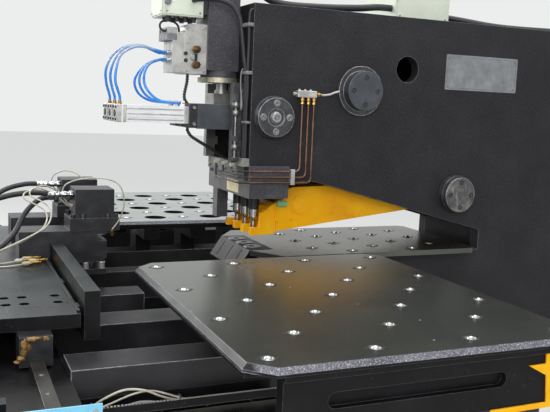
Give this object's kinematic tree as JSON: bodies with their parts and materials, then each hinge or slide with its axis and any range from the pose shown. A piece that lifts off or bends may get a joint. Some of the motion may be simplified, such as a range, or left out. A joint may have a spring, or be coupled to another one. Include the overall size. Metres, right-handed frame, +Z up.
{
  "type": "cnc punch press",
  "caption": "Deep C frame plate punching machine with sliding work tables, a cross carriage with sheet clamps, a yellow stripper arm and punches chosen by air cylinder wedges.",
  "frame": {"origin": "on the floor, straight under the middle punch, midway between the side plates", "axes": "+X to the back of the C frame, +Y away from the table the operator stands at, +Z up"},
  "size_m": [4.11, 4.125, 2.3338],
  "materials": {
    "frame_paint": "dark grey hammered paint with a fine pebbled grain",
    "dark_paint": "dark grey paint, dull with oil and dust",
    "worn_table": "ground steel plate, oily, with grey patches",
    "far_plate": "bright ground steel plate",
    "tool_steel": "ground tool steel",
    "black_steel": "blackened steel with an oily sheen",
    "bright_steel": "bright turned steel",
    "arm_yellow": "yellow enamel with oil smears",
    "cast_alloy": "raw cast alloy",
    "silver_alloy": "silver anodised alloy",
    "copper_tube": "dull copper brown tube",
    "cabinet_paint": "pale grey green powder coat",
    "blue_cover": "light blue paint",
    "blue_hose": "blue plastic hose",
    "black_hose": "black rubber hose",
    "black_plastic": "black plastic",
    "spring_steel": "oiled spring steel",
    "carriage_steel": "blued grey steel with an oily sheen"
  },
  "bodies": {
    "machine": {"floor_plate": "dark_paint", "near_side_plate": "frame_paint", "far_side_plate": "frame_paint", "frame_webs": "dark_paint", "die_table": "worn_table", "die_holder": "black_steel", "dies": "tool_steel", "die_table_balls": "bright_steel", "punch_holder": "black_steel", "ram_cylinder": "dark_paint", "cylinder_flange": "cast_alloy", "pin_caps": "black_steel", "arm_pin": "bright_steel", "lubrication_manifold": "cast_alloy", "copper_pipes": "copper_tube", "nameplate": "silver_alloy", "cabinets": "cabinet_paint", "cable_glands": "black_plastic", "valve_island": "silver_alloy", "air_hoses": "blue_hose", "top_hoses": "black_hose", "holddown_cylinder": "dark_paint", "long_bases": "dark_paint", "long_rails": "bright_steel", "long_drive": "dark_paint", "ram_guides": "dark_paint", "punch_spring_1": "spring_steel", "punch_spring_2": "spring_steel", "punch_spring_3": "spring_steel"},
    "worktable": {"cross_beams": "dark_paint", "cross_bed": "dark_paint", "cross_rails": "bright_steel", "near_table": "worn_table", "far_table": "far_plate", "table_frames": "dark_paint", "table_balls": "bright_steel", "side_guard": "arm_yellow", "long_bearings": "black_steel", "cross_drive": "dark_paint", "bed_end_cover": "blue_cover"},
    "carriage": {"carriage_plate": "carriage_steel", "cross_bearings": "black_steel", "locating_bar": "carriage_steel", "clamp_bodies": "black_steel", "hydraulic_hoses": "black_hose", "hose_fittings": "bright_steel"},
    "long_screw": {"long_screw": "bright_steel"},
    "cross_screw": {"cross_screw": "bright_steel"},
    "clamp_jaw_1": {"clamp_jaw_1": "bright_steel"},
    "clamp_jaw_2": {"clamp_jaw_2": "bright_steel"},
    "stripper_arm": {"stripper_arm": "arm_yellow"},
    "holddown_rod": {"holddown_rod": "bright_steel"},
    "ram": {"ram": "black_steel", "air_cylinders": "silver_alloy"},
    "wedge_1": {"wedge_1": "tool_steel"},
    "wedge_2": {"wedge_2": "tool_steel"},
    "wedge_3": {"wedge_3": "tool_steel"},
    "punch_1": {"punch_1": "tool_steel"},
    "punch_2": {"punch_2": "tool_steel"},
    "punch_3": {"punch_3": "tool_steel"}
  },
  "joints": [
    {"name": "long_slide", "type": "slide", "parent": "machine", "child": "worktable", "axis": [1, 0, 0], "range_m": [-0.25, 0.45]},
    {"name": "cross_slide", "type": "slide", "parent": "worktable", "child": "carriage", "axis": [0, 1, 0], "range_m": [-0.55, 0.95]},
    {"name": "long_screw_spin", "type": "hinge", "parent": "machine", "child": "long_screw", "pos_m": [-1, 0, 0.43], "axis": [1, 0, 0], "range_deg": [-2850, 5100]},
    {"name": "cross_screw_spin", "type": "hinge", "parent": "worktable", "child": "cross_screw", "pos_m": [-1.288, 0, 0.655], "axis": [0, 1, 0], "range_deg": [-6250, 10750]},
    {"name": "clamp_jaw_1_slide", "type": "slide", "parent": "carriage", "child": "clamp_jaw_1", "axis": [0, 0, -1], "range_m": [0, 0.017]},
    {"name": "clamp_jaw_2_slide", "type": "slide", "parent": "carriage", "child": "clamp_jaw_2", "axis": [0, 0, -1], "range_m": [0, 0.017]},
    {"name": "arm_pivot", "type": "hinge", "parent": "machine", "child": "stripper_arm", "pos_m": [1.048, 0, 1.121], "axis": [0, 1, 0], "range_deg": [-2.8, 0]},
    {"name": "holddown_slide", "type": "slide", "parent": "machine", "child": "holddown_rod", "axis": [0, 0, 1], "range_m": [-0.0405, 0]},
    {"name": "ram_slide", "type": "slide", "parent": "machine", "child": "ram", "axis": [0, 0, -1], "range_m": [0, 0.078], "deforming": ["air_hoses"]},
    {"name": "wedge_1_slide", "type": "slide", "parent": "ram", "child": "wedge_1", "axis": [1, 0, 0], "range_m": [0, 0.235]},
    {"name": "wedge_2_slide", "type": "slide", "parent": "ram", "child": "wedge_2", "axis": [1, 0, 0], "range_m": [0, 0.235]},
    {"name": "wedge_3_slide", "type": "slide", "parent": "ram", "child": "wedge_3", "axis": [1, 0, 0], "range_m": [0, 0.235]},
    {"name": "punch_1_slide", "type": "slide", "parent": "machine", "child": "punch_1", "axis": [0, 0, -1], "range_m": [0, 0.078], "stiffness_N_per_m": 4000, "springref_m": -0.03, "deforming": ["punch_spring_1"]},
    {"name": "punch_2_slide", "type": "slide", "parent": "machine", "child": "punch_2", "axis": [0, 0, -1], "range_m": [0, 0.078], "stiffness_N_per_m": 4000, "springref_m": -0.03, "deforming": ["punch_spring_2"]},
    {"name": "punch_3_slide", "type": "slide", "parent": "machine", "child": "punch_3", "axis": [0, 0, -1], "range_m": [0, 0.078], "stiffness_N_per_m": 4000, "springref_m": -0.03, "deforming": ["punch_spring_3"]}
  ],
  "couplings": [
    {"joint": "long_screw_spin", "follows": "long_slide", "rad_per_m": 196.35},
    {"joint": "cross_screw_spin", "follows": "cross_slide", "rad_per_m": 196.35},
    {"joint": "holddown_slide", "follows": "arm_pivot", "m_per_rad": 0.826}
  ]
}
